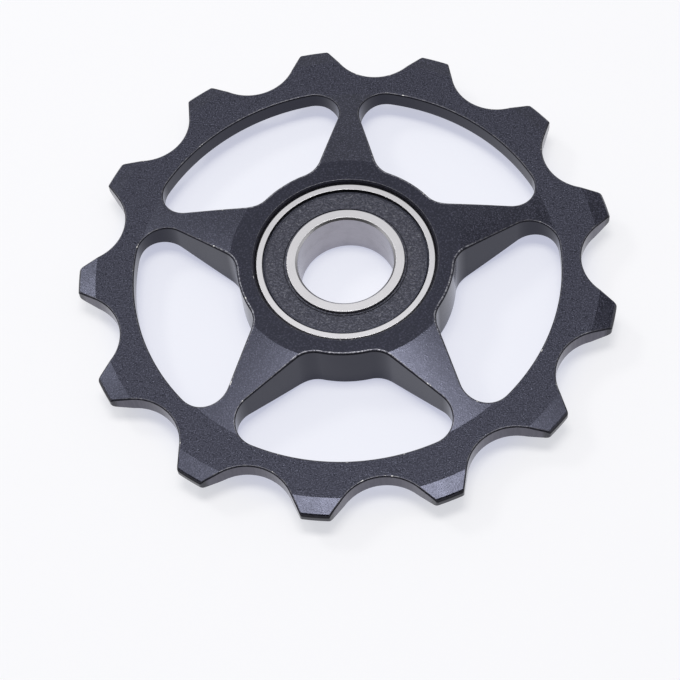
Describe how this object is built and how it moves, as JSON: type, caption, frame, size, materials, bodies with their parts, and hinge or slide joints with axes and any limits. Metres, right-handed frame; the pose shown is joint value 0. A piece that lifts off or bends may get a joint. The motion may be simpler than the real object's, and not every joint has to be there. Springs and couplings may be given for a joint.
{
  "type": "derailleur jockey wheel",
  "caption": "Black toothed chain guide wheel with tapered spokes, running on a sealed ball bearing with an open bore.",
  "frame": {"origin": "centre of the axle bore, on the mid-plane of the bearing", "axes": "+Z along the axle, up from the face that the picture shows; +Y along the middle of one spoke"},
  "size_m": [0.0502, 0.0505, 0.0055],
  "materials": {
    "black_anodised": "bead-blasted and black anodised, satin",
    "ring_steel": "ground bearing steel",
    "seal_rubber": "matte moulded nitrile",
    "cage_steel": "pressed sheet steel",
    "ball_steel": "polished"
  },
  "bodies": {
    "inner_ring": {"bearing_inner_ring": "ring_steel"},
    "wheel": {"wheel_body": "black_anodised", "bearing_outer_ring": "ring_steel", "upper_seal": "seal_rubber", "lower_seal": "seal_rubber"},
    "cage": {"cage_upper_half": "cage_steel", "cage_lower_half": "cage_steel"},
    "ball_01": {"ball_01": "ball_steel"},
    "ball_02": {"ball_02": "ball_steel"},
    "ball_03": {"ball_03": "ball_steel"},
    "ball_04": {"ball_04": "ball_steel"},
    "ball_05": {"ball_05": "ball_steel"},
    "ball_06": {"ball_06": "ball_steel"},
    "ball_07": {"ball_07": "ball_steel"},
    "ball_08": {"ball_08": "ball_steel"},
    "ball_09": {"ball_09": "ball_steel"},
    "ball_10": {"ball_10": "ball_steel"},
    "ball_11": {"ball_11": "ball_steel"}
  },
  "joints": [
    {"name": "wheel_spin", "type": "hinge", "parent": "inner_ring", "child": "wheel", "pos_m": [0, 0, 0], "axis": [0, 0, 1], "continuous": true},
    {"name": "cage_orbit", "type": "hinge", "parent": "inner_ring", "child": "cage", "pos_m": [0, 0, 0], "axis": [0, 0, 1], "continuous": true},
    {"name": "ball_01_roll", "type": "hinge", "parent": "cage", "child": "ball_01", "pos_m": [0.0065, 0, 0], "axis": [0, 0, 1], "continuous": true},
    {"name": "ball_02_roll", "type": "hinge", "parent": "cage", "child": "ball_02", "pos_m": [0.00547, 0.00351, 0], "axis": [0, 0, 1], "continuous": true},
    {"name": "ball_03_roll", "type": "hinge", "parent": "cage", "child": "ball_03", "pos_m": [0.0027, 0.00591, 0], "axis": [0, 0, 1], "continuous": true},
    {"name": "ball_04_roll", "type": "hinge", "parent": "cage", "child": "ball_04", "pos_m": [-0.00093, 0.00643, 0], "axis": [0, 0, 1], "continuous": true},
    {"name": "ball_05_roll", "type": "hinge", "parent": "cage", "child": "ball_05", "pos_m": [-0.00426, 0.00491, 0], "axis": [0, 0, 1], "continuous": true},
    {"name": "ball_06_roll", "type": "hinge", "parent": "cage", "child": "ball_06", "pos_m": [-0.00624, 0.00183, 0], "axis": [0, 0, 1], "continuous": true},
    {"name": "ball_07_roll", "type": "hinge", "parent": "cage", "child": "ball_07", "pos_m": [-0.00624, -0.00183, 0], "axis": [0, 0, 1], "continuous": true},
    {"name": "ball_08_roll", "type": "hinge", "parent": "cage", "child": "ball_08", "pos_m": [-0.00426, -0.00491, 0], "axis": [0, 0, 1], "continuous": true},
    {"name": "ball_09_roll", "type": "hinge", "parent": "cage", "child": "ball_09", "pos_m": [-0.00093, -0.00643, 0], "axis": [0, 0, 1], "continuous": true},
    {"name": "ball_10_roll", "type": "hinge", "parent": "cage", "child": "ball_10", "pos_m": [0.0027, -0.00591, 0], "axis": [0, 0, 1], "continuous": true},
    {"name": "ball_11_roll", "type": "hinge", "parent": "cage", "child": "ball_11", "pos_m": [0.00547, -0.00351, 0], "axis": [0, 0, 1], "continuous": true}
  ],
  "couplings": [
    {"joint": "cage_orbit", "follows": "wheel_spin", "ratio": 0.57631},
    {"joint": "ball_01_roll", "follows": "wheel_spin", "ratio": 3.1999},
    {"joint": "ball_02_roll", "follows": "wheel_spin", "ratio": 3.1999},
    {"joint": "ball_03_roll", "follows": "wheel_spin", "ratio": 3.1999},
    {"joint": "ball_04_roll", "follows": "wheel_spin", "ratio": 3.1999},
    {"joint": "ball_05_roll", "follows": "wheel_spin", "ratio": 3.1999},
    {"joint": "ball_06_roll", "follows": "wheel_spin", "ratio": 3.1999},
    {"joint": "ball_07_roll", "follows": "wheel_spin", "ratio": 3.1999},
    {"joint": "ball_08_roll", "follows": "wheel_spin", "ratio": 3.1999},
    {"joint": "ball_09_roll", "follows": "wheel_spin", "ratio": 3.1999},
    {"joint": "ball_10_roll", "follows": "wheel_spin", "ratio": 3.1999},
    {"joint": "ball_11_roll", "follows": "wheel_spin", "ratio": 3.1999}
  ]
}
